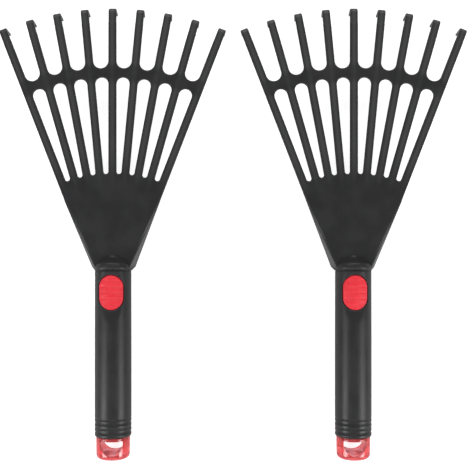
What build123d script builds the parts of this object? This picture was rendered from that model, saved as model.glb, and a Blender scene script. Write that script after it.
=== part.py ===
from build123d import *
import math
import os

# A pair of leaf grabber hands, lying side by side, tines down, on the plane z = 0.
# Each hand is a nine-tine rake head that plugs into a tubular grip, where a sprung
# latch holds it until the button on top of the grip is pressed.
#
# A hand is modelled about its own grip axis, with y = 0 at the seam between head and
# grip, +Y towards the tine tips and z = 0 on the grip axis. It is then lifted to stand
# on the floor and set to one side. All sizes are in millimetres.

# the pair
hand_spacing = 211.2
seam_gap = 0.25

# fan: every tine lies on a ray from one centre behind the seam
tine_count = 9
tine_pitch = 5.3
tine_width = 7.0
fan_centre_back = 37.0
tip_radius = 266.8
tine_free_length = 52.7
web_width = 8.1
slot_length = 84.4
tine_edge_round = 1.1
tine_back_round = 0.5

# hooks at the tine tips
hook_length = 21.0
hook_bend_radius = 4.2
hook_overlap = 8.4
hook_step = 0.1
hook_tip_width = 3.8
hook_tip_thick = 2.0

# palm and its turned-down sides
plate_top = 6.0
plate_thick = 3.0
side_length = 61.0
side_drop = 10.0
side_lean = 4.4
side_wall = 2.4
rib_thick = 2.0
rib_drop = 6.0
rib_start = 10.0
rib_pitch = 2 * tine_pitch

# neck: a short collar, and a shoulder that runs softly down to the palm
collar_length = 3.0
shoulder_length = 12.5
shoulder_sink = 0.3
neck_bevel = 3.0

# tang: a hollow spigot with a flat on top, inside the grip
tang_length = 58.0
tang_wall = 2.5
tang_clearance = 0.3
tang_flat_top = 6.0
tang_roof = 2.4
tang_hollow_depth = 7.0
tang_lead = 1.2

# grip tube
grip_radius = 16.0
grip_length = 144.8
grip_wall = 3.2
grip_nose_step = 0.15
grip_nose_round = 0.3
grip_taper_length = 60.0
grip_end_chamfer = 1.4
ring_count = 4
ring_pitch = 4.0
ring_from_end = 4.0
ring_tool_radius = 1.2
ring_depth = 0.7

# thumb scoop round the button
scoop_depth = 2.2
scoop_half_length = 24.0
scoop_crown_radius = 30.0

# release button
button_width = 20.8
button_length = 30.2
button_centre_back = 18.7
button_gap = 0.5
button_sink = 0.6
button_crown_radius = 22.0
button_arch_radius = 150.0
button_foot_room = 0.7
button_wall = 2.0
button_roof = 3.8
button_edge_round = 1.2
button_rib_count = 5
button_rib_pitch = 5.2
button_rib_tool = 1.3
button_rib_depth = 0.45
button_travel = 2.5
button_tab_width = 10.0
button_tab_reach = 2.2
button_tab_thick = 1.4
button_tab_clearance = 0.18
button_foot_width = 4.0
button_foot_length = 6.0
foot_clearance = 0.05

# latch strip of spring steel, bent up into a tooth near its free end
strip_width = 12.0
strip_thick = 0.6
strip_below_roof = 0.2
tooth_place = 13.8
tooth_sink = 0.1
tooth_ramp = 5.0
tooth_crest = 0.9
tooth_slack = 0.2
tooth_side_slack = 0.4
slot_side_slack = 0.6

# carrier that fixes the strip in the grip
carrier_length = 20.0
carrier_gap = 0.5
carrier_clearance = 0.1
carrier_back_wall = 3.6
strip_seat_length = 14.0
rivet_radius = 1.5
rivet_head_radius = 2.6
rivet_head_height = 1.1
rivet_depth = 6.0
rivet_pitch = 6.0
rivet_first = 4.5
hole_clearance = 0.05

# screw that holds the carrier, from underneath
screw_radius = 1.5
screw_head_radius = 3.0
screw_head_height = 1.6
screw_recess_radius = 3.4
screw_recess_depth = 2.0
screw_room = 0.6
screw_cross_width = 0.9
screw_cross_depth = 0.9

# end cap with its hanging hole
cap_step = 1.3
cap_length = 19.6
cap_flange = 1.2
cap_edge_round = 4.0
plug_length = 15.0
plug_wall = 2.0
plug_clearance = 0.05
bead_height = 0.45
bead_from_flange = 8.0
bead_slack = 0.1
hang_hole_width = 19.7
hang_hole_height = 12.5
hang_hole_from_grip = 2.8

# places worked out from the sizes above
half_tine = tine_width / 2
half_pitch = math.radians(tine_pitch / 2)
half_fan = math.radians(tine_pitch * (tine_count - 1) / 2)
gap_bottom_radius = tip_radius - tine_free_length
slot_top_radius = gap_bottom_radius - web_width
slot_bottom_radius = slot_top_radius - slot_length
tine_angles = [tine_pitch * (i - (tine_count - 1) / 2) for i in range(tine_count)]
gap_angles = [(a + b) / 2 for a, b in zip(tine_angles, tine_angles[1:])]
bore_radius = grip_radius - grip_wall
tang_radius = bore_radius - tang_clearance
roof_under = tang_flat_top - tang_roof
grip_nose_radius = grip_radius - grip_nose_step
cap_radius = grip_radius - cap_step
plate_under = plate_top - plate_thick
button_y = -button_centre_back
button_top = grip_radius - button_sink
button_bottom = tang_flat_top + button_travel + button_foot_room
button_pocket_top = button_top - button_roof
strip_top = roof_under - strip_below_roof
strip_under = strip_top - strip_thick
tooth_height = tang_flat_top - tooth_sink - strip_top
grip_end = -seam_gap - grip_length
carrier_front = -tang_length - carrier_gap
carrier_end = carrier_front - carrier_length
strip_root = carrier_front - strip_seat_length
screw_top = strip_under - rivet_depth - screw_room
screw_y = carrier_front - strip_seat_length / 2 - 1.5
cap_end = grip_end - cap_length
tip_y = tip_radius - fan_centre_back
hook_start = tip_radius - hook_length
middle_y = (tip_y + cap_end) / 2


def box_between(x_from, x_to, y_from, y_to, z_from, z_to):
    # a plain block between two corners
    size = (x_to - x_from, y_to - y_from, z_to - z_from)
    place = Pos((x_from + x_to) / 2, (y_from + y_to) / 2, (z_from + z_to) / 2)
    return place * Box(*size)


def turned(profile):
    # a profile drawn with x as the radius, turned about the grip axis
    return revolve(profile, axis=Axis.Y)


def side_shape(points, half_width):
    # an outline of (y, z) points, made solid across the hand
    outline = Plane.YZ * Polygon(*points, align=None)
    return extrude(outline, half_width, both=True)


def upright_pin(radius, y_place, z_from, z_to):
    # a round pin standing on the grip's middle plane
    middle = (z_from + z_to) / 2
    return Pos(0, y_place, middle) * Cylinder(radius, z_to - z_from)


def one_solid(shape):
    # the single solid that a node is made of
    return shape.solids().sort_by(SortBy.VOLUME)[-1]


def edge_half_width(y_place):
    # half width of the head between its two straight outer edges
    return (y_place + fan_centre_back) * math.tan(half_fan) + half_tine / math.cos(half_fan)


def on_ray(angle, shape):
    # turns a shape that lies along the middle ray onto the ray at this angle
    return Pos(0, -fan_centre_back, 0) * Rot(0, 0, -angle) * shape


def circle_between_tines(radius_at_edge, inner_end):
    # the circle that touches both neighbouring tines and ends at this radius
    side = -1 if inner_end else 1
    distance = (radius_at_edge + side * half_tine) / (1 + side * math.sin(half_pitch))
    return distance, distance * math.sin(half_pitch) - half_tine


def opening_between_tines(inner_radius, outer_radius, outer_closed):
    # the round-ended space between two tines, drawn along the middle ray
    near, near_size = circle_between_tines(inner_radius, True)
    if outer_closed:
        far, far_size = circle_between_tines(outer_radius, False)
    else:
        far = outer_radius
        far_size = far * math.sin(half_pitch) - half_tine
    near_ring = Pos(0, near) * Circle(near_size)
    far_ring = Pos(0, far) * Circle(far_size)
    return make_hull(near_ring.edges() + far_ring.edges())


def fan_plate():
    # flat plate with slots, open gaps and the straight part of every tine
    reach = tip_radius + 40
    root_width = edge_half_width(0)
    wide = edge_half_width(reach)
    wedge = Polygon((-root_width, 0), (root_width, 0), (wide, reach), (-wide, reach), align=None)
    rim = Pos(0, -fan_centre_back) * Circle(hook_start + hook_overlap)
    outline = wedge & rim
    for angle in gap_angles:
        slot = opening_between_tines(slot_bottom_radius, slot_top_radius, True)
        gap = opening_between_tines(gap_bottom_radius, reach, False)
        outline -= on_ray(angle, slot)
        outline -= on_ray(angle, gap)
    plate = Pos(0, 0, plate_under) * extrude(outline, plate_thick)
    faces = plate.faces().filter_by(Axis.Z).sort_by(Axis.Z)
    plate = fillet(faces[-1].edges(), tine_edge_round)
    under = plate.faces().filter_by(Axis.Z).sort_by(Axis.Z)[0]
    return fillet(under.edges(), tine_back_round)


def hook_section():
    # cross-section of a hook, a step inside the tine's, with its top just below the x axis
    width = tine_width - 2 * hook_step
    thick = plate_thick - 2 * hook_step
    blank = Pos(0, -plate_thick / 2) * Rectangle(width, thick)
    corners = blank.vertices().sort_by(Axis.Y)
    blank = fillet(corners[-2:], tine_edge_round)
    low = blank.vertices().sort_by(Axis.Y)[:2]
    return fillet(low, tine_back_round)


def tine_hook():
    # the last of a tine: a straight stretch, a bend and a tapered point to the floor
    bend = tip_radius - hook_bend_radius
    section = Plane((0, hook_start, plate_top), x_dir=(-1, 0, 0), z_dir=(0, 1, 0)) * hook_section()
    straight = extrude(section, bend - hook_start)
    bend_face = straight.faces().sort_by(Axis.Y)[-1]
    turn_axis = Axis((0, bend, plate_top - hook_bend_radius), (-1, 0, 0))
    turn = revolve(bend_face, axis=turn_axis, revolution_arc=90)
    low_face = turn.faces().sort_by(Axis.Z)[0]
    tip_middle = tip_radius - hook_tip_thick / 2
    tip_plane = Plane((0, tip_middle, -grip_radius), z_dir=(0, 0, -1))
    tip = tip_plane * RectangleRounded(hook_tip_width, hook_tip_thick, hook_tip_thick / 3)
    point = loft([low_face, tip.face()])
    return straight + turn + point


def lean_cutter(side, inward):
    # everything outside the leaning side face, moved inward by a wall thickness
    top = plate_top
    base = Vector(side * edge_half_width(0), 0, top - side_drop)
    inner = Vector(side * (edge_half_width(0) - side_lean), 0, top)
    front = Vector(side * edge_half_width(side_length), side_length, top)
    normal = (inner - base).cross(front - base).normalized()
    if normal.X * side < 0:
        normal = -normal
    face = Plane(base - normal * inward, x_dir=(front - base), z_dir=normal)
    block = face * Pos(0, 0, 50) * Box(600, 600, 100)
    window = box_between(-200, 200, 0, side_length + 8, -60, 60)
    return block & window


def palm_block(margin, top, bottom_shift, inward):
    # the palm's wedge between its sides, with a bottom that rises to the plate
    near = edge_half_width(0) - margin
    far = edge_half_width(side_length) - margin
    outline = Polygon((-near, 0), (near, 0), (far, side_length), (-far, side_length), align=None)
    wedge = Pos(0, 0, -40) * extrude(outline, 40 + top)
    low = plate_top - side_drop - bottom_shift
    high = plate_under - bottom_shift
    belly = side_shape([(0, low), (side_length, high), (side_length, top), (0, top)], 80)
    block = wedge & belly
    for side in (-1, 1):
        block -= lean_cutter(side, inward)
    return block


def neck_corner_cutter():
    # what the palm's sides lose beside the seam, where they run in to the collar's width
    inner = grip_radius
    outer = edge_half_width(neck_bevel)
    corner = Polygon(
        (inner, -5), (60, -5), (60, neck_bevel), (outer, neck_bevel), (inner, 0), align=None
    )
    right = Pos(0, 0, -40) * extrude(corner, 80)
    return right + mirror(right, about=Plane.YZ)


def palm_ribs():
    # stiffening ribs under the palm, each along a tine
    end = slot_bottom_radius - fan_centre_back
    points = [
        (rib_start, plate_under - rib_drop),
        (end, plate_under - 0.2),
        (end, plate_under + 0.5),
        (rib_start, plate_under + 0.5),
    ]
    middle = side_shape(points, rib_thick / 2)
    along_ray = Pos(0, fan_centre_back, 0) * middle
    ribs = middle
    for angle in (-rib_pitch, rib_pitch):
        ribs += on_ray(angle, along_ray)
    return ribs


def tang_outside():
    # spigot with a lead-in at its end and a flat on top
    body = Polygon(
        (0, collar_length),
        (tang_radius, collar_length),
        (tang_radius, -tang_length + tang_lead),
        (tang_radius - tang_lead, -tang_length),
        (0, -tang_length),
        align=None,
    )
    flat = box_between(-30, 30, -tang_length - 5, 0, tang_flat_top, 40)
    return turned(body) - flat


def tang_inside():
    # the hollow of the spigot, and the T-shaped opening that the latch works in
    hollow_radius = tang_radius - tang_wall
    depth = tang_length + tang_hollow_depth
    hollow = Pos(0, tang_hollow_depth - depth / 2 - 1, 0) * Rot(90, 0, 0) * Cylinder(hollow_radius, depth + 2)
    hollow -= box_between(-30, 30, -tang_length - 5, 30, roof_under, 40)
    half_window = strip_width / 2 + tooth_side_slack
    window_front = -(tooth_place - tooth_ramp - tooth_crest - 1.0)
    window_back = -(tooth_place + tooth_slack)
    window = box_between(
        -half_window, half_window, window_back, window_front, roof_under - 1, tang_flat_top + 1
    )
    half_slot = button_foot_width / 2 + slot_side_slack
    slot = box_between(
        -half_slot, half_slot, -tang_length - 5, window_back + 1, roof_under - 1, tang_flat_top + 1
    )
    return hollow + window + slot


def rake_head():
    # one moulding: fan, hooks, palm with its sides and ribs, neck and tang
    plate = fan_plate()
    for side in (-1, 1):
        plate -= lean_cutter(side, 0)
    sides = palm_block(0, plate_top, 0, 0)
    sides -= palm_block(side_wall, plate_under, 20, side_wall)
    palm = plate + sides + palm_ribs() - neck_corner_cutter()
    shoulder_end = collar_length + shoulder_length
    landing = plate_top - shoulder_sink
    neck = make_face(
        [
            Line((0, 0), (grip_radius, 0)),
            Line((grip_radius, 0), (grip_radius, collar_length)),
            Spline(
                (grip_radius, collar_length), (landing, shoulder_end), tangents=[(0, 1), (0, 1)]
            ),
            Line((landing, shoulder_end), (0, shoulder_end)),
            Line((0, shoulder_end), (0, 0)),
        ]
    )
    head = palm + turned(neck)
    hook = tine_hook()
    for angle in tine_angles:
        head += on_ray(angle, hook)
    head += tang_outside()
    head -= tang_inside()
    return one_solid(head)


def scoop_cutter():
    # dished saddle that flattens the grip round the button
    half = 1.25 * scoop_half_length
    rise = half * half * scoop_depth / scoop_half_length**2
    low = scoop_crown_radius
    outer = low + 20
    profile = make_face(
        [
            ThreePointArc(
                (low + rise, button_y - half), (low, button_y), (low + rise, button_y + half)
            ),
            Line((low + rise, button_y + half), (outer, button_y + half)),
            Line((outer, button_y + half), (outer, button_y - half)),
            Line((outer, button_y - half), (low + rise, button_y - half)),
        ]
    )
    drop = grip_radius - scoop_depth - scoop_crown_radius
    return Pos(0, 0, drop) * turned(profile)


def button_outline(margin):
    # the button's long oval, grown or shrunk by a margin
    oval = SlotOverall(button_length + 2 * margin, button_width + 2 * margin, rotation=90)
    return Pos(0, button_y) * oval


def grip_tube():
    # tube with a rounded nose, a slight taper, end rings, scoop and button window
    nose = -seam_gap
    outline = Polygon(
        (0, nose),
        (grip_nose_radius, nose),
        (grip_radius, nose - grip_taper_length),
        (grip_radius, grip_end + grip_end_chamfer),
        (grip_radius - grip_end_chamfer, grip_end),
        (0, grip_end),
        align=None,
    )
    corner = outline.vertices().sort_by_distance((grip_nose_radius, nose))[0]
    tube = turned(fillet(corner, grip_nose_round))
    tube -= scoop_cutter()
    for i in range(ring_count):
        place = grip_end + ring_from_end + i * ring_pitch
        centre = grip_radius + ring_tool_radius - ring_depth
        tube -= turned(Pos(centre, place) * Circle(ring_tool_radius))
    bore_length = grip_length + 10
    tube -= Pos(0, grip_end + grip_length / 2, 0) * Rot(90, 0, 0) * Cylinder(bore_radius, bore_length)
    window = Pos(0, 0, tang_flat_top) * extrude(button_outline(button_gap), 2 * grip_radius)
    tube -= window
    bead_y = grip_end + bead_from_flange
    groove_tool = bead_height + bead_slack + plug_clearance
    tube -= turned(Pos(bore_radius, bead_y) * Circle(groove_tool))
    tube -= upright_pin(screw_recess_radius, screw_y, -grip_radius - 5, -grip_radius + screw_recess_depth)
    tube -= upright_pin(screw_radius + hole_clearance, screw_y, -grip_radius, -bore_radius + 1)
    return one_solid(tube)


def release_button():
    # crowned oval with cross grooves, end tabs under the grip wall and a foot
    bottom = button_bottom
    prism = Pos(0, 0, bottom) * extrude(button_outline(0), button_top)
    half = button_length
    sag = half * half / (2 * button_arch_radius)
    low = button_crown_radius - sag
    crown = make_face(
        [
            ThreePointArc(
                (low, button_y - half), (button_crown_radius, button_y), (low, button_y + half)
            ),
            Line((low, button_y + half), (0, button_y + half)),
            Line((0, button_y + half), (0, button_y - half)),
            Line((0, button_y - half), (low, button_y - half)),
        ]
    )
    body = prism & (Pos(0, 0, button_top - button_crown_radius) * turned(crown))
    rim = body.faces().sort_by(Axis.Z)[-1].edges()
    body = fillet(rim, button_edge_round)
    groove_field = Pos(0, 0, bottom) * extrude(button_outline(-button_wall), button_top)
    first = button_y - button_rib_pitch * (button_rib_count - 1) / 2
    for i in range(button_rib_count):
        height = button_top + button_rib_tool - button_rib_depth
        height -= (first + i * button_rib_pitch - button_y) ** 2 / (2 * button_arch_radius)
        ring_radius = button_crown_radius - button_rib_depth + button_rib_tool
        ring = turned(Pos(ring_radius, first + i * button_rib_pitch) * Circle(button_rib_tool))
        sag_here = (first + i * button_rib_pitch - button_y) ** 2 / (2 * button_arch_radius)
        ring = Pos(0, 0, button_top - button_crown_radius - sag_here) * ring
        body -= ring & groove_field
    body -= Pos(0, 0, bottom) * extrude(button_outline(-button_wall), button_pocket_top - bottom)
    half_tab = button_tab_width / 2
    tab_top = math.sqrt(bore_radius**2 - half_tab**2) - button_tab_clearance
    tab_under = tab_top - button_tab_thick
    front = button_y + button_length / 2
    back = button_y - button_length / 2
    body += box_between(
        -half_tab, half_tab, front - button_wall - 1, front + button_tab_reach, tab_under, tab_top
    )
    body += box_between(
        -half_tab, half_tab, back - button_tab_reach, back + button_wall + 1, tab_under, tab_top
    )
    half_foot = button_foot_width / 2
    body += box_between(
        -half_foot,
        half_foot,
        button_y - button_foot_length / 2,
        button_y + button_foot_length / 2,
        strip_top + foot_clearance,
        button_pocket_top + 0.5,
    )
    return one_solid(body)


def latch_strip():
    # the strip, folded up into a tooth with a ramp in front of its catch face
    catch = -tooth_place
    crest = strip_top + tooth_height
    ramp_end = catch + tooth_crest + tooth_ramp
    points = [
        (strip_root, strip_under),
        (strip_root, strip_top),
        (catch, strip_top),
        (catch, crest),
        (catch + tooth_crest, crest),
        (ramp_end, strip_top),
        (ramp_end - strip_thick, strip_top - strip_thick),
        (catch + tooth_crest, crest - 1.5 * strip_thick),
        (catch + strip_thick, crest - 1.5 * strip_thick),
        (catch + strip_thick, strip_under),
    ]
    strip = side_shape(points, strip_width / 2)
    for i in range(2):
        place = carrier_front - rivet_first - i * rivet_pitch
        strip -= upright_pin(rivet_radius + hole_clearance, place, strip_under - 1, strip_top + 1)
    return one_solid(strip)


def strip_rivets():
    # two domed rivets through the strip into the carrier
    rivets = []
    for i in range(2):
        place = carrier_front - rivet_first - i * rivet_pitch
        shank = upright_pin(rivet_radius, place, strip_under - rivet_depth, strip_top)
        head = upright_pin(rivet_head_radius, place, strip_top, strip_top + rivet_head_height)
        rim = head.edges().sort_by(Axis.Z)[-1]
        rivets.append(one_solid(shank + fillet(rim, 0.7 * rivet_head_height)))
    return Compound(rivets)


def latch_carrier():
    # round plug with a ledge for the strip, holes for its rivets and for the screw
    radius = bore_radius - carrier_clearance
    middle = (carrier_front + carrier_end) / 2
    plug = Pos(0, middle, 0) * Rot(90, 0, 0) * Cylinder(radius, carrier_length)
    ledge_end = carrier_end + carrier_back_wall
    plug -= box_between(-30, 30, ledge_end, carrier_front + 1, strip_under, 30)
    for i in range(2):
        place = carrier_front - rivet_first - i * rivet_pitch
        depth = rivet_depth + hole_clearance
        plug -= upright_pin(rivet_radius + hole_clearance, place, strip_under - depth, strip_under + 1)
    top = screw_top + hole_clearance
    plug -= upright_pin(screw_radius + hole_clearance, screw_y, -bore_radius - 1, top)
    return one_solid(plug)


def carrier_screw():
    # pan-head screw up through the grip wall into the carrier
    seat = -grip_radius + screw_recess_depth
    under = seat - screw_head_height
    head = upright_pin(screw_head_radius, screw_y, under, seat)
    head = fillet(head.edges().sort_by(Axis.Z)[0], 0.5 * screw_head_height)
    shank = upright_pin(screw_radius, screw_y, seat, screw_top)
    screw = head + shank
    arm = screw_head_radius * 0.6
    half = screw_cross_width / 2
    top = under + screw_cross_depth
    screw -= box_between(-arm, arm, screw_y - half, screw_y + half, under - 1, top)
    screw -= box_between(-half, half, screw_y - arm, screw_y + arm, under - 1, top)
    return one_solid(screw)


def end_cap():
    # hollow plug, thin flange and a round end with a D-shaped hole from top to bottom
    plug_radius = bore_radius - plug_clearance
    plug_front = grip_end + plug_length
    outline = Polygon(
        (0, plug_front),
        (plug_radius, plug_front),
        (plug_radius, grip_end),
        (cap_radius, grip_end),
        (cap_radius, cap_end),
        (0, cap_end),
        align=None,
    )
    corner = outline.vertices().sort_by_distance((cap_radius, cap_end))[0]
    cap = turned(fillet(corner, cap_edge_round))
    bead_y = grip_end + bead_from_flange
    cap += turned(Pos(plug_radius - 0.05, bead_y) * Circle(bead_height))
    hollow_radius = plug_radius - plug_wall
    hollow_length = plug_length
    cap -= Pos(0, plug_front - hollow_length / 2 + 1, 0) * Rot(90, 0, 0) * Cylinder(
        hollow_radius, hollow_length + 2 - 2 * cap_flange
    )
    half = hang_hole_width / 2
    top = grip_end - hang_hole_from_grip
    centre = top - hang_hole_height + half
    hole = Polygon((-half, centre), (half, centre), (half, top), (-half, top), align=None)
    hole += Pos(0, centre) * Circle(half)
    hole -= Pos(0, top + half) * Rectangle(4 * half, 2 * half)
    cap -= Pos(0, 0, -2 * cap_radius) * extrude(hole, 4 * cap_radius)
    return one_solid(cap)


def hand_pieces():
    # every piece of one hand, by name
    return {
        "rake_head": rake_head(),
        "grip_tube": grip_tube(),
        "latch_carrier": latch_carrier(),
        "latch_strip": latch_strip(),
        "strip_rivets": strip_rivets(),
        "carrier_screw": carrier_screw(),
        "release_button": release_button(),
        "end_cap": end_cap(),
    }


os.makedirs("parts", exist_ok=True)
pieces = hand_pieces()
for hand, side in (("left", -1), ("right", 1)):
    place = Pos(side * hand_spacing / 2, -middle_y, grip_radius)
    for name, piece in pieces.items():
        export_step(place * piece, f"parts/{hand}_{name}.step")
        print(hand, name, round(piece.volume / 1000, 2), "cm3")
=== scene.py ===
import bpy
import bmesh
import math
import numpy as np
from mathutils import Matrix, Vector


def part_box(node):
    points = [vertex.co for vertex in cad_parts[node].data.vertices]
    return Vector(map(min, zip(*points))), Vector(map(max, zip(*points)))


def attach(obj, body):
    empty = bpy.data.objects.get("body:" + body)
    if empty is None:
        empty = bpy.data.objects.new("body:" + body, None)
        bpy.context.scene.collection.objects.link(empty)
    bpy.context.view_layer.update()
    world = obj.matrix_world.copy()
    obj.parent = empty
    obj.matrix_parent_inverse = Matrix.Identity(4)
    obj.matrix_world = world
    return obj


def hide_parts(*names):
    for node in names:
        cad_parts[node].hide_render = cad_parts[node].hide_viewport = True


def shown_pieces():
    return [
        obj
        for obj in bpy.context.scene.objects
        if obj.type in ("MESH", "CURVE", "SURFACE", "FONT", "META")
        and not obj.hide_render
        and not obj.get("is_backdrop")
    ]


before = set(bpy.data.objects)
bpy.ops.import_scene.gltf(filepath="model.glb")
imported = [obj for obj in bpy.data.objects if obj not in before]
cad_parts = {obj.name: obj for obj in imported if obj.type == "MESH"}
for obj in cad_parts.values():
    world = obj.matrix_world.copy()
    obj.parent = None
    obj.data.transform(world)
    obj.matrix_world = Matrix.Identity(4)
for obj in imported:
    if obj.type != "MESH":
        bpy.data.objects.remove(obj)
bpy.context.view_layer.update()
mm = 0.001
sides = ("left", "right")
mergeDistance = 2e-6            # points nearer than this are one
thinEdge = 1e-7                 # edges shorter than this are dropped


def boxOf(node):
    # lowest and highest corners of a CAD node
    return tuple(np.array(corner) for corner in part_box(node))


def findHand(side):
    # the grip's axis, radius and ends, and the button's middle, read from the CAD model
    gripLow, gripHigh = boxOf(side + "_grip_tube")
    buttonLow, buttonHigh = boxOf(side + "_release_button")
    return {
        "axisX": (gripLow[0] + gripHigh[0]) / 2,
        "axisZ": (gripLow[2] + gripHigh[2]) / 2,
        "radius": (gripHigh[0] - gripLow[0]) / 2,
        "noseY": gripHigh[1],
        "endY": gripLow[1],
        "buttonY": (buttonLow[1] + buttonHigh[1]) / 2,
    }


hands = {side: findHand(side) for side in sides}
for side in sides:
    print(side, "grip axis at", round(float(hands[side]["axisX"]), 4))

cameraValues = {
    "eyeHeight": 0.7375,     # metres above the floor
    "aimX": 0.0016,
    "aimY": -0.0015,
    "lens": 62.8,
    "sensor": 36.0,
    "nearest": 0.01,
    "farthest": 50.0,
}


def makeCamera(v):
    # straight above, with +Y up in the picture
    data = bpy.data.cameras.new("camera")
    data.lens = v["lens"]
    data.sensor_width = v["sensor"]
    data.clip_start, data.clip_end = v["nearest"], v["farthest"]
    eye = bpy.data.objects.new("camera", data)
    eye.location = (v["aimX"], v["aimY"], v["eyeHeight"])
    bpy.context.collection.objects.link(eye)
    bpy.context.scene.camera = eye


makeCamera(cameraValues)
print("camera made")


def newMaterial(name):
    material = bpy.data.materials.new(name)
    material.use_nodes = True
    tree = material.node_tree
    shader = next(n for n in tree.nodes if n.type == "BSDF_PRINCIPLED")
    return material, tree, shader


def addNode(tree, kind, settings=None, values=None):
    node = tree.nodes.new(kind)
    for key, value in (settings or {}).items():
        setattr(node, key, value)
    for key, value in (values or {}).items():
        node.inputs[key].default_value = value
    return node


def feed(tree, item, socket):
    # item is another node's output, a colour or a number
    if isinstance(item, (int, float)):
        socket.default_value = item
    elif isinstance(item, tuple):
        socket.default_value = (*item, 1)
    else:
        tree.links.new(item, socket)


def mathNode(tree, operation, first, second=None, clamp=False):
    node = addNode(tree, "ShaderNodeMath", {"operation": operation, "use_clamp": clamp})
    feed(tree, first, node.inputs[0])
    if second is not None:
        feed(tree, second, node.inputs[1])
    return node.outputs[0]


def seenMask(tree):
    # 1 for what is seen straight or through the clear cap, 0 where the surface only gives light
    path = tree.nodes.new("ShaderNodeLightPath")
    straight, through = path.outputs["Is Camera Ray"], path.outputs["Is Transmission Ray"]
    return mathNode(tree, "MAXIMUM", straight, through)


stageValues = {
    "floorHalf": 3.0,
    "floorTone": (0.80, 0.80, 0.80),
    "floorRough": 0.85,
    "floorSpecular": 0.1,
    "floorGlow": 0.76,       # keeps the pale floor bright, with faint shadows
    "worldTone": (0.95, 0.97, 1.0),
    "worldStrength": 0.16,
    "worldSeen": 0.93,       # what is seen past the floor's edge
}


def makeFloor(v):
    half = v["floorHalf"]
    corners = [(-half, -half, 0), (half, -half, 0), (half, half, 0), (-half, half, 0)]
    mesh = bpy.data.meshes.new("floor")
    mesh.from_pydata(corners, [], [(0, 1, 2, 3)])
    floor = bpy.data.objects.new("floor", mesh)
    bpy.context.collection.objects.link(floor)
    material, tree, shader = newMaterial("paleFloor")
    shader.inputs["Base Color"].default_value = (*v["floorTone"], 1)
    shader.inputs["Roughness"].default_value = v["floorRough"]
    shader.inputs["Specular IOR Level"].default_value = v["floorSpecular"]
    shader.inputs["Emission Color"].default_value = (1, 1, 1, 1)
    glow = mathNode(tree, "MULTIPLY", seenMask(tree), v["floorGlow"])
    tree.links.new(glow, shader.inputs["Emission Strength"])
    mesh.materials.append(material)
    floor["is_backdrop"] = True


def makeWorld(v):
    world = bpy.data.worlds.new("studio")
    world.use_nodes = True
    tree = world.node_tree
    back = tree.nodes["Background"]
    back.inputs["Color"].default_value = (*v["worldTone"], 1)
    extra = mathNode(tree, "MULTIPLY", seenMask(tree), v["worldSeen"] - v["worldStrength"])
    tree.links.new(mathNode(tree, "ADD", extra, v["worldStrength"]), back.inputs["Strength"])
    bpy.context.scene.world = world


# each soft box: its place, what it faces, width and height in metres, watts
lightValues = {
    "leftBox": ((-0.92, -0.50, 0.60), (0, -0.12, 0.016), 0.24, 0.60, 5.4),
    "rightBox": ((0.92, -0.50, 0.60), (0, -0.12, 0.016), 0.24, 0.60, 5.6),
    "frontBox": ((0.0, -1.2, 1.3), (0, 0, 0.016), 1.4, 0.6, 6.5),
    "backBox": ((0.0, 1.30, 0.95), (0, 0.1, 0.016), 1.7, 0.5, 12.0),
}


def makeLight(name, place, aim, width, height, watts):
    data = bpy.data.lights.new(name, "AREA")
    data.shape = "RECTANGLE"
    data.size, data.size_y = width, height
    data.energy = watts
    lamp = bpy.data.objects.new(name, data)
    lamp.location = place
    towards = Vector(np.subtract(aim, place))
    lamp.rotation_euler = towards.to_track_quat("-Z", "Y").to_euler()
    bpy.context.collection.objects.link(lamp)


makeFloor(stageValues)
makeWorld(stageValues)
for lightName, values in lightValues.items():
    makeLight(lightName, *values)
bpy.context.scene.view_settings.view_transform = "Standard"
print("floor and lights made")


def newGroup(name, inputs, outputs):
    # inputs are name to first value, None for a vector; outputs are names of masks
    group = bpy.data.node_groups.new(name, "ShaderNodeTree")
    for socket, value in inputs.items():
        kind = "NodeSocketVector" if value is None else "NodeSocketFloat"
        made = group.interface.new_socket(socket, in_out="INPUT", socket_type=kind)
        if value is not None:
            made.default_value = value
    for socket in outputs:
        group.interface.new_socket(socket, in_out="OUTPUT", socket_type="NodeSocketFloat")
    return group, group.nodes.new("NodeGroupInput"), group.nodes.new("NodeGroupOutput")


def placeGroup(tree, group, vector, values):
    node = tree.nodes.new("ShaderNodeGroup")
    node.node_tree = group
    tree.links.new(vector, node.inputs["Vector"])
    for key, value in values.items():
        node.inputs[key].default_value = value
    return node


def rampNode(tree, value, low, high, toLow=0.0, toHigh=1.0):
    # an S-shaped step from toLow at low to toHigh at high
    ends = {"From Min": low, "From Max": high, "To Min": toLow, "To Max": toHigh}
    node = addNode(tree, "ShaderNodeMapRange", {"interpolation_type": "SMOOTHSTEP"}, ends)
    tree.links.new(value, node.inputs["Value"])
    return node.outputs["Result"]


def mixColour(tree, factor, first, second):
    # a Mix node's colours are its sockets 6 and 7, and its mixed colour is its output 2
    node = addNode(tree, "ShaderNodeMix", {"data_type": "RGBA"})
    for i, item in ((0, factor), (6, first), (7, second)):
        feed(tree, item, node.inputs[i])
    return node.outputs[2]


def noiseNode(tree, vector, scale, detail, rough, bend=0.0):
    values = {"Detail": detail, "Roughness": rough, "Distortion": bend}
    node = addNode(tree, "ShaderNodeTexNoise", None, values)
    tree.links.new(vector, node.inputs["Vector"])
    feed(tree, scale, node.inputs["Scale"])
    return node.outputs["Fac"]


grainValues = {
    "pitSmooth": 0.8, "pitShare": 0.55,
    "fineRatio": 0.55, "fineShare": 0.45, "fineDetail": 3.0, "fineRough": 0.6,
    "rippleDetail": 2.0, "rippleRough": 0.45,
}


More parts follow.
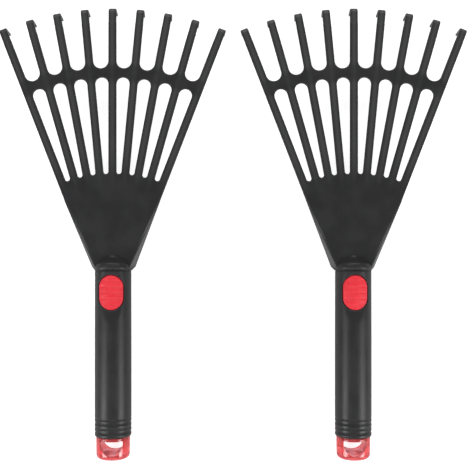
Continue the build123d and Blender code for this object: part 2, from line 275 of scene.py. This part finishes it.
def makeGrainGroup(v):
    # spark-eroded mould texture: rounded pits and finer ones over a slow ripple, sizes in mm
    group, start, end = newGroup(
        "mouldGrain", {"Vector": None, "Pit Size": 0.5, "Ripple Size": 14.0}, ("Height", "Tone"))
    where = start.outputs["Vector"]
    pitScale = mathNode(group, "DIVIDE", 1 / mm, start.outputs["Pit Size"])
    rippleScale = mathNode(group, "DIVIDE", 1 / mm, start.outputs["Ripple Size"])
    fineScale = mathNode(group, "MULTIPLY", pitScale, v["fineRatio"])
    pits = addNode(group, "ShaderNodeTexVoronoi", {"feature": "SMOOTH_F1"},
                   {"Smoothness": v["pitSmooth"], "Randomness": 1.0})
    group.links.new(where, pits.inputs["Vector"])
    group.links.new(pitScale, pits.inputs["Scale"])
    fine = noiseNode(group, where, fineScale, v["fineDetail"], v["fineRough"])
    ripple = noiseNode(group, where, rippleScale, v["rippleDetail"], v["rippleRough"])
    small = mathNode(group, "MULTIPLY", pits.outputs["Distance"], v["pitShare"])
    middle = mathNode(group, "MULTIPLY", fine, v["fineShare"])
    group.links.new(mathNode(group, "ADD", small, middle), end.inputs["Height"])
    group.links.new(ripple, end.inputs["Tone"])
    return group


scuffValues = {
    "stretch": 0.07,         # share of the pattern's density that is left along the streaks
    "streakDetail": 4.0, "streakRough": 0.62, "streakBend": 0.25,
    "streakLow": 0.56, "streakHigh": 0.74,
    "patchScale": 55.0, "patchDetail": 3.0, "patchRough": 0.55,
    "patchLow": 0.45, "patchHigh": 0.72,
}


def makeScuffGroup(v):
    # thin rubbed streaks that run along Y, broken up by patches, streak size in mm
    group, start, end = newGroup(
        "rubScuff", {"Vector": None, "Amount": 0.3, "Streak Size": 1.0}, ("Mask",))
    where = start.outputs["Vector"]
    longer = addNode(group, "ShaderNodeMapping", None, {"Scale": (1.0, v["stretch"], 1.0)})
    group.links.new(where, longer.inputs["Vector"])
    streakScale = mathNode(group, "DIVIDE", 1 / mm, start.outputs["Streak Size"])
    streak = noiseNode(group, longer.outputs["Vector"], streakScale,
                       v["streakDetail"], v["streakRough"], v["streakBend"])
    patch = noiseNode(group, where, v["patchScale"], v["patchDetail"], v["patchRough"])
    streakMask = rampNode(group, streak, v["streakLow"], v["streakHigh"])
    patchMask = rampNode(group, patch, v["patchLow"], v["patchHigh"])
    both = mathNode(group, "MULTIPLY", streakMask, patchMask)
    mask = mathNode(group, "MULTIPLY", both, start.outputs["Amount"], clamp=True)
    group.links.new(mask, end.inputs["Mask"])
    return group


grainGroup = makeGrainGroup(grainValues)
scuffGroup = makeScuffGroup(scuffValues)
print("shared patterns made")


def startMaterial(name, v):
    # the grain and scuff groups, placed with this material's own sizes
    material, tree, shader = newMaterial(name)
    where = tree.nodes.new("ShaderNodeTexCoord").outputs["Object"]
    grain = placeGroup(tree, grainGroup, where,
                       {"Pit Size": v["pitSize"], "Ripple Size": v["rippleSize"]})
    scuff = placeGroup(tree, scuffGroup, where,
                       {"Amount": v["scuffAmount"], "Streak Size": v["streakSize"]})
    return material, tree, shader, where, grain, scuff.outputs["Mask"]


def endMaterial(tree, shader, colour, rough, height, v):
    bump = addNode(tree, "ShaderNodeBump", None,
                   {"Strength": v["bumpStrength"], "Distance": v["bumpDepth"] * mm})
    tree.links.new(height, bump.inputs["Height"])
    tree.links.new(colour, shader.inputs["Base Color"])
    tree.links.new(rough, shader.inputs["Roughness"])
    tree.links.new(bump.outputs["Normal"], shader.inputs["Normal"])


def fromAxis(tree, where):
    # x from the nearer hand's axis, y and z; the hands stand alike on both sides of x = 0
    apart = addNode(tree, "ShaderNodeSeparateXYZ")
    tree.links.new(where, apart.inputs[0])
    fromMiddle = mathNode(tree, "ABSOLUTE", apart.outputs["X"])
    across = mathNode(tree, "SUBTRACT", fromMiddle, float(hands["right"]["axisX"]))
    return across, apart.outputs["Y"], apart.outputs["Z"]


def hypotenuse(tree, a, b):
    # the square root of a squared plus b squared
    squareA, squareB = mathNode(tree, "MULTIPLY", a, a), mathNode(tree, "MULTIPLY", b, b)
    return mathNode(tree, "SQRT", mathNode(tree, "ADD", squareA, squareB))


plasticValues = {
    "tone": (0.0225, 0.0225, 0.0235),
    "rippleTone": (0.028, 0.028, 0.029),
    "scuffTone": (0.085, 0.085, 0.087),
    "roughness": 0.38, "rippleRough": 0.05, "scuffRough": 0.18,
    "rippleLow": 0.35, "rippleHigh": 0.68,
    "rippleSize": 16.0, "streakSize": 0.9,      # mm, as all sizes and depths below
    "bumpStrength": 0.5, "bumpDepth": 0.04,
    "specular": 0.4,
}
headValues = {**plasticValues, "pitSize": 0.55, "scuffAmount": 0.35}
gripSkinValues = {**plasticValues, "pitSize": 0.45, "scuffAmount": 0.30}

# where highlights are painted on the head
paintedLightValues = {
    # painted highlight along each tine's middle
    "tineHighlightTone": (0.060, 0.060, 0.0608),
    "fanBack": 37.0,                            # from the seam back to where the tines' rays meet
    "tinePitch": 5.3,                           # degrees
    "crestHalf": 3.2, "crestStart": 105.0, "crestFull": 150.0,
    "webMiddle": 210.0, "webHalf": 10.0,        # the web between the tines keeps the palm's tone
    "webCore": 0.4, "webShare": 0.25,
    # painted highlight on the hooks and the palm's low sides
    "lowSideHighlightTone": (0.125, 0.125, 0.127),
    "highlightTop": 21.5, "highlightBottom": 20.3,          # heights above the ground
    "neckFade": 6.0,
}


def crestHighlightMask(tree, across, along, v):
    # 1 along each tine's middle, where a highlight is painted: the angle about the fan's centre,
    # folded to one pitch, times the distance from that centre; it starts past the palm and fades
    # at the web
    pitch = math.radians(v["tinePitch"])
    turn = mathNode(tree, "DIVIDE", mathNode(tree, "ARCTAN2", across, along), pitch)
    fold = mathNode(tree, "SUBTRACT", turn, mathNode(tree, "ROUND", turn))
    reach = hypotenuse(tree, across, along)
    arc = mathNode(tree, "MULTIPLY", reach, pitch)
    off = mathNode(tree, "MULTIPLY", mathNode(tree, "ABSOLUTE", fold), arc)
    middle = rampNode(tree, off, v["crestHalf"] * mm, 0.0)
    far = rampNode(tree, reach, v["crestStart"] * mm, v["crestFull"] * mm)
    fromWeb = mathNode(tree, "SUBTRACT", reach, v["webMiddle"] * mm)
    webEdge = v["webHalf"] * mm
    pastWeb = rampNode(tree, mathNode(tree, "ABSOLUTE", fromWeb),
                       v["webCore"] * webEdge, webEdge, v["webShare"], 1.0)
    return mathNode(tree, "MULTIPLY", mathNode(tree, "MULTIPLY", middle, far), pastWeb)


def lowSideHighlightMask(tree, along, height, v):
    # 1 low down, on the hooks and the palm's sides, past the neck, where a highlight is painted
    low = rampNode(tree, height, v["highlightTop"] * mm, v["highlightBottom"] * mm)
    seam = v["fanBack"] * mm
    pastNeck = rampNode(tree, along, seam, seam + v["neckFade"] * mm)
    return mathNode(tree, "MULTIPLY", low, pastNeck)


def makePlastic(name, v, paintedLight=None):
    # black moulded plastic with a fine grain, a slow change of tone and rubbed streaks; on the
    # head also painted highlights along the tines and on the hooks and low sides
    material, tree, shader, where, grain, scuff = startMaterial(name, v)
    ripple = rampNode(tree, grain.outputs["Tone"], v["rippleLow"], v["rippleHigh"])
    colour = mixColour(tree, ripple, v["tone"], v["rippleTone"])
    if paintedLight:
        across, y, height = fromAxis(tree, where)
        fanCentre = float(hands["right"]["noseY"] - paintedLight["fanBack"] * mm)
        along = mathNode(tree, "SUBTRACT", y, fanCentre)
        tineHighlight = crestHighlightMask(tree, across, along, paintedLight)
        # painted highlight along each tine's middle, growing towards the tips
        colour = mixColour(tree, tineHighlight, colour, paintedLight["tineHighlightTone"])
        # painted highlight on the hooks and the palm's low sides
        colour = mixColour(tree, lowSideHighlightMask(tree, along, height, paintedLight), colour, paintedLight["lowSideHighlightTone"])
    colour = mixColour(tree, scuff, colour, v["scuffTone"])
    rough = mathNode(tree, "MULTIPLY", ripple, v["rippleRough"])
    rough = mathNode(tree, "ADD", rough, v["roughness"])
    rough = mathNode(tree, "ADD", rough, mathNode(tree, "MULTIPLY", scuff, v["scuffRough"]))
    endMaterial(tree, shader, colour, rough, grain.outputs["Height"], v)
    shader.inputs["Specular IOR Level"].default_value = v["specular"]
    return material


redValues = {
    "tone": (0.93, 0.032, 0.052),
    "rippleTone": (0.98, 0.044, 0.066),
    "scuffTone": (0.95, 0.16, 0.18),
    "roughness": 0.46, "scuffRough": 0.2,
    "rippleLow": 0.35, "rippleHigh": 0.68,
    "pitSize": 0.35, "rippleSize": 7.0, "scuffAmount": 0.35, "streakSize": 0.7,
    "bumpStrength": 0.25, "bumpDepth": 0.03,
    "specular": 0.4,
}


def makeRed(v):
    # satin red moulding, a little lighter where thumbs have rubbed it
    material, tree, shader, where, grain, scuff = startMaterial("redButton", v)
    ripple = rampNode(tree, grain.outputs["Tone"], v["rippleLow"], v["rippleHigh"])
    colour = mixColour(tree, ripple, v["tone"], v["rippleTone"])
    colour = mixColour(tree, scuff, colour, v["scuffTone"])
    rough = mathNode(tree, "MULTIPLY", scuff, v["scuffRough"])
    rough = mathNode(tree, "ADD", rough, v["roughness"])
    endMaterial(tree, shader, colour, rough, grain.outputs["Height"], v)
    shader.inputs["Specular IOR Level"].default_value = v["specular"]
    return material


clearValues = {
    "tone": (0.98, 0.145, 0.15),
    "deepTone": (0.94, 0.08, 0.09),
    "wallLightTone": (0.96, 0.42, 0.46),      # painted light: the hole's wall, paler than the outside
    "wallFrom": 0.3, "wallFull": 1.1,    # mm in from the cap's outside
    "roughness": 0.16, "scuffRough": 0.25,
    "flowLow": 0.3, "flowHigh": 0.7,
    "pitSize": 0.8, "rippleSize": 5.0, "scuffAmount": 0.5, "streakSize": 0.8,
    "bumpStrength": 0.3, "bumpDepth": 0.1,
    "through": 0.62, "bending": 1.49,
}


def holeWall(tree, where, v):
    # 1 on the hole's wall, where light is painted; it is nearer to the cap's axis than its outside
    low, high = boxOf("right_end_cap")
    across, y, height = fromAxis(tree, where)
    above = mathNode(tree, "SUBTRACT", height, float(hands["right"]["axisZ"]))
    outside = float(high[0] - low[0]) / 2
    out = hypotenuse(tree, across, above)
    return rampNode(tree, out, outside - v["wallFrom"] * mm, outside - v["wallFull"] * mm)


def makeClearRed(v):
    # see-through red with slow flow lines from the gate and fine haze, and painted light on the
    # hole's wall
    material, tree, shader, where, grain, scuff = startMaterial("clearRed", v)
    flow = rampNode(tree, grain.outputs["Tone"], v["flowLow"], v["flowHigh"])
    colour = mixColour(tree, flow, v["deepTone"], v["tone"])
    # painted light: the hole's wall is mixed paler
    colour = mixColour(tree, holeWall(tree, where, v), colour, v["wallLightTone"])
    rough = mathNode(tree, "MULTIPLY", scuff, v["scuffRough"])
    rough = mathNode(tree, "ADD", rough, v["roughness"])
    endMaterial(tree, shader, colour, rough, grain.outputs["Tone"], v)
    shader.inputs["Transmission Weight"].default_value = v["through"]
    shader.inputs["IOR"].default_value = v["bending"]
    return material


steelValues = {
    "tone": (0.50, 0.50, 0.51),
    "dullTone": (0.34, 0.33, 0.32),
    "roughLow": 0.24, "roughHigh": 0.42,
    "stretch": 0.03, "lineScale": 2600.0, "lineDetail": 3.0, "lineRough": 0.6,
    "lineLow": 0.3, "lineHigh": 0.7,
    "scuffAmount": 0.8, "streakSize": 2.0,
    "bumpStrength": 0.3, "bumpDepth": 0.02,
}


def makeSteel(v):
    # rolled spring steel with fine lines along its length
    material, tree, shader = newMaterial("springSteel")
    where = tree.nodes.new("ShaderNodeTexCoord").outputs["Object"]
    longer = addNode(tree, "ShaderNodeMapping", None, {"Scale": (1.0, v["stretch"], 1.0)})
    tree.links.new(where, longer.inputs["Vector"])
    lines = noiseNode(tree, longer.outputs["Vector"], v["lineScale"],
                      v["lineDetail"], v["lineRough"])
    scuff = placeGroup(tree, scuffGroup, where,
                       {"Amount": v["scuffAmount"], "Streak Size": v["streakSize"]})
    colour = mixColour(tree, scuff.outputs["Mask"], v["tone"], v["dullTone"])
    rough = rampNode(tree, lines, v["lineLow"], v["lineHigh"], v["roughLow"], v["roughHigh"])
    endMaterial(tree, shader, colour, rough, lines, v)
    shader.inputs["Metallic"].default_value = 1.0
    return material


headPlastic = makePlastic("headPlastic", headValues, paintedLightValues)
gripPlastic = makePlastic("gripPlastic", gripSkinValues)
redButton = makeRed(redValues)
clearRed = makeClearRed(clearValues)
springSteel = makeSteel(steelValues)
print("materials made")


def softMin(a, b, reach):
    # the lower of two surfaces, with the crease between them rounded over reach
    near = np.clip(reach - np.abs(a - b), 0, None) / reach
    return np.minimum(a, b) - near * near * reach / 4


def smoothStep(x, low, high):
    t = np.clip((x - low) / (high - low), 0, 1)
    return t * t * (3 - 2 * t)


def arcRise(radius, off):
    # height of a circle over its centre, at a distance off from its middle
    return np.sqrt(np.clip(radius ** 2 - off * off, 0, None))


def centreOf(hand):
    # every new piece is worked out in mm from here: the grip's axis below the button's middle
    return np.array([hand["axisX"], hand["buttonY"], hand["axisZ"]])


def shadeMesh(mesh, angle):
    # smooth, except along edges sharper than angle
    mesh.shade_smooth()
    mesh.set_sharp_from_angle(angle=math.radians(angle))


def newPiece(name, mesh, material, angle):
    mesh.materials.clear()
    mesh.materials.append(material)
    shadeMesh(mesh, angle)
    piece = bpy.data.objects.new(name, mesh)
    bpy.context.collection.objects.link(piece)
    return piece


def declarePiece(piece, node, body):
    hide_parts(node)
    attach(piece, body)


def mergedCopy(node, name):
    # a CAD node's mesh with its loose triangles joined
    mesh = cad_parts[node].data.copy()
    mesh.name = name
    work = bmesh.new()
    work.from_mesh(mesh)
    bmesh.ops.remove_doubles(work, verts=work.verts, dist=mergeDistance)
    work.to_mesh(mesh)
    work.free()
    return mesh


def gridFaces(rows, columns, closeRows):
    # quads between neighbouring rows, each row closed on itself
    i = np.arange(rows if closeRows else rows - 1)[:, None]
    j = np.arange(columns)[None, :]
    nextRow, nextColumn = (i + 1) % rows, (j + 1) % columns
    corners = (i * columns + j, i * columns + nextColumn,
               nextRow * columns + nextColumn, nextRow * columns + j)
    shape = (len(i), columns)
    return np.stack([np.broadcast_to(c, shape) for c in corners], axis=-1).reshape(-1, 4)


def meshFromGrid(name, points, closeRows=False):
    # points is rows x columns x 3; the result has merged poles and faces outwards
    rows, columns = points.shape[:2]
    mesh = bpy.data.meshes.new(name)
    mesh.from_pydata(points.reshape(-1, 3), [], gridFaces(rows, columns, closeRows))
    work = bmesh.new()
    work.from_mesh(mesh)
    bmesh.ops.remove_doubles(work, verts=work.verts, dist=mergeDistance)
    bmesh.ops.dissolve_degenerate(work, edges=work.edges, dist=thinEdge)
    bmesh.ops.recalc_face_normals(work, faces=work.faces)
    if work.calc_volume(signed=True) < 0:
        bmesh.ops.reverse_faces(work, faces=work.faces)
    work.to_mesh(mesh)
    work.free()
    return mesh


def addBlocks(mesh, blocks, cut):
    # closed blocks with cut corners, from lowest and highest corners, added to a mesh
    work = bmesh.new()
    work.from_mesh(mesh)
    for low, high in blocks:
        made = []
        for pick in np.ndindex(2, 2, 2):
            corner = np.where(pick, high, low)
            inward = np.where(pick, -cut, cut)
            for keep in range(3):
                made.append(work.verts.new(corner + inward * (np.arange(3) != keep)))
        hull = bmesh.ops.convex_hull(work, input=made)
        spare = hull["geom_unused"] + hull["geom_interior"]
        bmesh.ops.delete(work, geom=spare, context="VERTS")
    work.to_mesh(mesh)
    work.free()


def ovalOutline(halfStraight, arcSteps, straightSteps):
    # round a long oval: the place on its middle line, and the outward direction, at each step
    turn = np.linspace(0, np.pi, arcSteps)
    run = np.linspace(-halfStraight, halfStraight, straightSteps + 2)[1:-1]
    middle = np.concatenate([run, 0 * turn + halfStraight, run[::-1], 0 * turn - halfStraight])
    outX = np.concatenate([0 * run + 1, np.cos(turn), 0 * run - 1, -np.cos(turn)])
    outY = np.concatenate([0 * run, np.sin(turn), 0 * run, -np.sin(turn)])
    return middle, outX, outY


# sizes of every piece from here on are in mm
scoopValues = {
    "depth": 2.2, "half": 24.0, "crown": 30.0, "soft": 0.7,
    "fadeFrom": 19.0, "fadeTo": 31.0,    # where it runs out on the head's neck
}


def thumbScoop(x, y, full, v):
    # a saddle: an arc along the grip, turned over a crown across it
    rise = v["crown"] + y * y * v["depth"] / v["half"] ** 2
    return full - v["depth"] - v["crown"] + arcRise(rise, x)


def sinkNeck(mesh, side, v):
    # carries the thumb scoop over the seam on to the head's collar, and fades it out there
    hand = hands[side]
    place = np.empty(len(mesh.vertices) * 3)
    mesh.vertices.foreach_get("co", place)
    place = place.reshape(-1, 3)
    x, y, z = ((place - centreOf(hand)) / mm).T
    full = hand["radius"] / mm
    seam = (hand["noseY"] - hand["buttonY"]) / mm
    lowered = softMin(z, thumbScoop(x, np.minimum(y, seam), full, v), v["soft"])
    share = (z > 0) * (np.abs(x) < full) * (1 - smoothStep(y, v["fadeFrom"], v["fadeTo"]))
    place[:, 2] += share * (lowered - z) * mm
    mesh.vertices.foreach_set("co", place.ravel())


mouldingValues = {"sharpAngle": 32}


def makeMoulding(side, node, name, body, material, v):
    # a copy of the CAD piece, shaded smooth except along its real edges
    mesh = mergedCopy(side + node, side + name)
    if node == "_rake_head":
        sinkNeck(mesh, side, scoopValues)
    piece = newPiece(side + name, mesh, material, v["sharpAngle"])
    weight = piece.modifiers.new("areaNormals", "WEIGHTED_NORMAL")
    weight.keep_sharp = True
    declarePiece(piece, side + node, side + body)


buttonValues = {
    "halfWidth": 10.4, "halfStraight": 4.7, "bottom": 9.2,      # heights are from the grip's axis
    "crown": 22.0, "arch": 150.0, "edgeRound": 1.2, "underRound": 0.3,
    "grooves": 5, "groovePitch": 5.2, "grooveTool": 1.3, "grooveDepth": 0.5,
    "lipWidth": 1.5, "lipSoft": 0.5, "lipHeight": 0.22,
    "underShares": (1.0, 0.6, 0.2),      # insets of the underside's inner rows
    "arcSteps": 60, "straightSteps": 24, "sideRows": 8, "edgeRows": 6, "topRows": 46,
    "tabTop": 11.6, "tabHalfWidth": 5.0, "tabReach": 2.2, "tabThick": 1.4, "tabRoot": 1.5,
    "footHalfWidth": 2.0, "footHalfLength": 3.0, "footRoot": 1.0,
    "blockCut": 0.2, "sharpAngle": 34,
}


def buttonTop(x, y, top, inset, v):
    # crown across, arch along, a lip round the edge and cross grooves inside the lip
    z = top - v["crown"] + np.sqrt(v["crown"] ** 2 - x * x) - y * y / (2 * v["arch"])
    inside = smoothStep(inset, v["lipWidth"] - v["lipSoft"], v["lipWidth"] + v["lipSoft"])
    nearest = np.round(y / v["groovePitch"]) * v["groovePitch"]
    edge = v["groovePitch"] * (v["grooves"] // 2)
    off = np.clip(np.abs(y - np.clip(nearest, -edge, edge)), 0, v["grooveTool"])
    cutIn = v["grooveDepth"] - v["grooveTool"] + arcRise(v["grooveTool"], off)
    return z - inside * (v["lipHeight"] + np.clip(cutIn, 0, None))


def buttonSurface(top, v):
    # rows run from the middle of the underside out, up the side, over the edge and in to the
    # middle of the top, each one the oval drawn in by its inset
    r, e, foot = v["halfWidth"], v["edgeRound"], v["bottom"] + v["underRound"]
    middle, outX, outY = ovalOutline(v["halfStraight"], v["arcSteps"], v["straightSteps"])
    under = np.array([share * r for share in v["underShares"]] + [v["underRound"], 0.0])
    level = np.linspace(0, 1, v["sideRows"] + 1)[1:]
    turn = np.linspace(0, np.pi / 2, v["edgeRows"] + 1)[1:]
    over = np.linspace(e, r, v["topRows"])[1:]
    inset = np.concatenate([under, 0 * level, e * (1 - np.cos(turn)), over])
    x = (r - inset)[:, None] * outX
    y = middle + (r - inset)[:, None] * outY
    surface = buttonTop(x, y, top, inset[:, None], v)
    sideStart = len(under)
    edgeStart = sideStart + len(level)
    edgeEnd = edgeStart + len(turn)
    z = surface.copy()
    z[:sideStart - 1] = v["bottom"]
    z[sideStart - 1] = foot
    z[sideStart:edgeStart] = foot + (surface[sideStart] - e - foot) * level[:, None]
    z[edgeStart:edgeEnd] = surface[edgeStart:edgeEnd] - e * (1 - np.sin(turn))[:, None]
    return np.stack([x, y, z], axis=-1)


def buttonBlocks(footLow, v):
    # lowest and highest corners of the two end tabs and the foot
    end = v["halfStraight"] + v["halfWidth"]
    root, reach = end - v["tabRoot"], end + v["tabReach"]
    width, low, high = v["tabHalfWidth"], v["tabTop"] - v["tabThick"], v["tabTop"]
    footWidth, footLength = v["footHalfWidth"], v["footHalfLength"]
    return [
        ((-width, root, low), (width, reach, high)),
        ((-width, -reach, low), (width, -root, high)),
        ((-footWidth, -footLength, footLow), (footWidth, footLength, v["bottom"] + v["footRoot"])),
    ]


def makeButton(side, v):
    hand = hands[side]
    node = side + "_release_button"
    low, high = boxOf(node)
    centre = centreOf(hand)
    points = buttonSurface((high[2] - hand["axisZ"]) / mm, v)
    mesh = meshFromGrid(node, centre + points * mm)
    blocks = buttonBlocks((low[2] - hand["axisZ"]) / mm, v)
    placed = [(centre + mm * np.array(a), centre + mm * np.array(b)) for a, b in blocks]
    addBlocks(mesh, placed, v["blockCut"] * mm)
    piece = newPiece(side + "_thumb_button", mesh, redButton, v["sharpAngle"])
    declarePiece(piece, node, side + "_button")


gripValues = {
    "bore": 12.8, "boreChamfer": 0.4,
    "noseStep": 0.15, "noseRound": 0.15, "taper": 60.0, "endRound": 1.4,
    "ringDepths": (0.85, 0.35, 0.85, 0.3),       # from the cap's end, deep and faint in turn
    "ringPitch": 4.0, "ringFromEnd": 4.0, "ringTool": 0.95, "ringSoft": 0.2,
    "windowGap": 0.5, "windowRound": 0.45, "windowFloor": 6.0,
    "windowArcSteps": 72, "windowStraightSteps": 12, "windowSlit": 0.02,
    "recessRadius": 3.4, "recessDepth": 2.0, "recessSteps": 64,
    "aboveTop": 4.0, "belowBottom": 2.0,         # how far the cutters stand out of the tube
    "around": 216, "sharpAngle": 34,
}

# how closely the tube's rings stand, from the nose back
stationValues = {
    "noseZone": 1.2, "noseSteps": 9,
    "windowZone": 46.0, "windowStep": 0.55,
    "plainStep": 2.4,
    "ringMargin": 2.0, "ringStep": 0.22,
    "endZone": 1.6, "endSteps": 9,
    "boreShares": (0.75, 0.5, 0.3), "boreNose": 18.7,
}


def gripRadius(back, length, full, v):
    # radius of the tube at a distance back from its nose: taper, rounded ends and ring grooves
    radius = full - v["noseStep"] * (1 - np.clip(back / v["taper"], 0, 1))
    for size, along in ((v["noseRound"], back), (v["endRound"], length - back)):
        rest = np.clip(size - along, 0, size)
        radius = radius - (size - arcRise(size, rest))
    for i, depth in enumerate(v["ringDepths"]):
        off = np.abs(length - back - v["ringFromEnd"] - i * v["ringPitch"])
        tool = full + v["ringTool"] - depth - arcRise(v["ringTool"], off)
        clear = full + 2 * v["ringTool"]
        radius = softMin(radius, np.where(off < v["ringTool"], tool, clear), v["ringSoft"])
    return radius


def gripStations(length, v, s):
    # places along the tube, close together at the ends, round the window and at the rings
    ringZone = v["ringFromEnd"] + v["ringPitch"] * len(v["ringDepths"])
    ringStart = length - ringZone - s["ringMargin"]
    return np.unique(np.round(np.concatenate([
        np.linspace(0, s["noseZone"], s["noseSteps"]),
        np.arange(s["noseZone"], s["windowZone"], s["windowStep"]),
        np.arange(s["windowZone"], ringStart, s["plainStep"]),
        np.arange(ringStart, length - s["endZone"], s["ringStep"]),
        length - np.linspace(0, s["endZone"], s["endSteps"]),
    ]), 4))


def windowSize(v):
    # half width and half straight length: the button's oval with a gap round it
    return buttonValues["halfWidth"] + v["windowGap"], buttonValues["halfStraight"]


def gripOuter(turn, noseY, length, full, v, s):
    # a circle at each station, lowered to the thumb scoop and rolled over at the window's rim
    back = gripStations(length, v, s)
    radius = gripRadius(back, length, full, v)
    x = radius[:, None] * np.sin(turn)
    y = (noseY - back)[:, None] + 0 * turn
    z = radius[:, None] * np.cos(turn)
    scooped = softMin(z, thumbScoop(x, y, full, scoopValues), scoopValues["soft"])
    z = np.where(z > 0, scooped, z)
    halfWidth, halfStraight = windowSize(v)
    off = np.hypot(x, y - np.clip(y, -halfStraight, halfStraight)) - halfWidth
    near = np.clip(1 - np.clip(off, 0, None) / v["windowRound"], 0, 1)
    z = np.where(z > 0, z - v["windowRound"] * near * near, z)
    return np.stack([x, y, z], axis=-1)


def gripBore(turn, noseY, length, v, s):
    # back through the tube from its end to its nose, a little wider at both mouths
    chamfer = v["boreChamfer"]
    inside = [share * length for share in s["boreShares"]]
    back = np.array([length, length - chamfer, *inside, s["boreNose"], chamfer, 0.0])
    size = np.full(len(back), v["bore"])
    size[[0, -1]] += chamfer
    y = (noseY - back)[:, None] + 0 * turn
    return np.stack([size[:, None] * np.sin(turn), y, size[:, None] * np.cos(turn)], axis=-1)


def windowCutter(full, v):
    # the button's oval with room round it; both ends are drawn in to a slit
    halfWidth, halfStraight = windowSize(v)
    middle, outX, outY = ovalOutline(halfStraight, v["windowArcSteps"], v["windowStraightSteps"])
    low, high = v["windowFloor"], full + v["aboveTop"]
    rise = np.array([low, low, high, high])[:, None]
    share = np.array([0.0, 1.0, 1.0, 0.0])[:, None]
    slit = v["windowSlit"] + (1 - v["windowSlit"]) * share
    y = middle * slit + share * halfWidth * outY
    return np.stack([share * halfWidth * outX, y, rise + 0 * outX], axis=-1)


def recessCutter(screwY, full, v):
    # a round plug from below; both ends are drawn in to a point
    turn = 2 * np.pi * np.arange(v["recessSteps"]) / v["recessSteps"]
    low, high = -full - v["belowBottom"], -full + v["recessDepth"]
    rise = np.array([low, low, high, high])[:, None]
    share = v["recessRadius"] * np.array([0.0, 1.0, 1.0, 0.0])[:, None]
    x, y = share * np.cos(turn), screwY + share * np.sin(turn)
    return np.stack([x, y, rise + 0 * turn], axis=-1)


def cutAway(piece, cutterMesh):
    cutter = bpy.data.objects.new("cutter", cutterMesh)
    bpy.context.collection.objects.link(cutter)
    cut = piece.modifiers.new("cut", "BOOLEAN")
    cut.operation, cut.solver, cut.object = "DIFFERENCE", "EXACT", cutter
    bpy.context.view_layer.update()
    graph = bpy.context.evaluated_depsgraph_get()
    done = bpy.data.meshes.new_from_object(piece.evaluated_get(graph))
    piece.modifiers.clear()
    piece.data = done
    bpy.data.objects.remove(cutter)


def makeGrip(side, v, s):
    hand = hands[side]
    node = side + "_grip_tube"
    centre = centreOf(hand)
    full = hand["radius"] / mm
    length = (hand["noseY"] - hand["endY"]) / mm
    noseY = (hand["noseY"] - hand["buttonY"]) / mm
    turn = 2 * np.pi * np.arange(v["around"]) / v["around"]
    points = np.concatenate([gripOuter(turn, noseY, length, full, v, s),
                             gripBore(turn, noseY, length, v, s)])
    mesh = meshFromGrid(node, centre + points * mm, closeRows=True)
    grip = newPiece(side + "_grip", mesh, gripPlastic, v["sharpAngle"])
    screwLow, screwHigh = boxOf(side + "_carrier_screw")
    screwY = ((screwLow + screwHigh)[1] / 2 - hand["buttonY"]) / mm
    for shape in (windowCutter(full, v), recessCutter(screwY, full, v)):
        cutAway(grip, meshFromGrid("cutter", centre + shape * mm))
    shadeMesh(grip.data, v["sharpAngle"])
    declarePiece(grip, node, side + "_handle")


# CAD pieces that keep their own shape
innerMaterials = {
    "_latch_strip": springSteel,
    "_strip_rivets": springSteel,
    "_carrier_screw": springSteel,
    "_latch_carrier": gripPlastic,
}

for side in sides:
    makeMoulding(side, "_rake_head", "_head_moulding", "_head",
                 headPlastic, mouldingValues)
    makeMoulding(side, "_end_cap", "_clear_cap", "_handle",
                 clearRed, mouldingValues)
    makeGrip(side, gripValues, stationValues)
    makeButton(side, buttonValues)
    for node, material in innerMaterials.items():
        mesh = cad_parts[side + node].data
        mesh.materials.clear()
        mesh.materials.append(material)
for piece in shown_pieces():
    print(piece.name, "faces", len(piece.data.polygons))
print("pieces made")
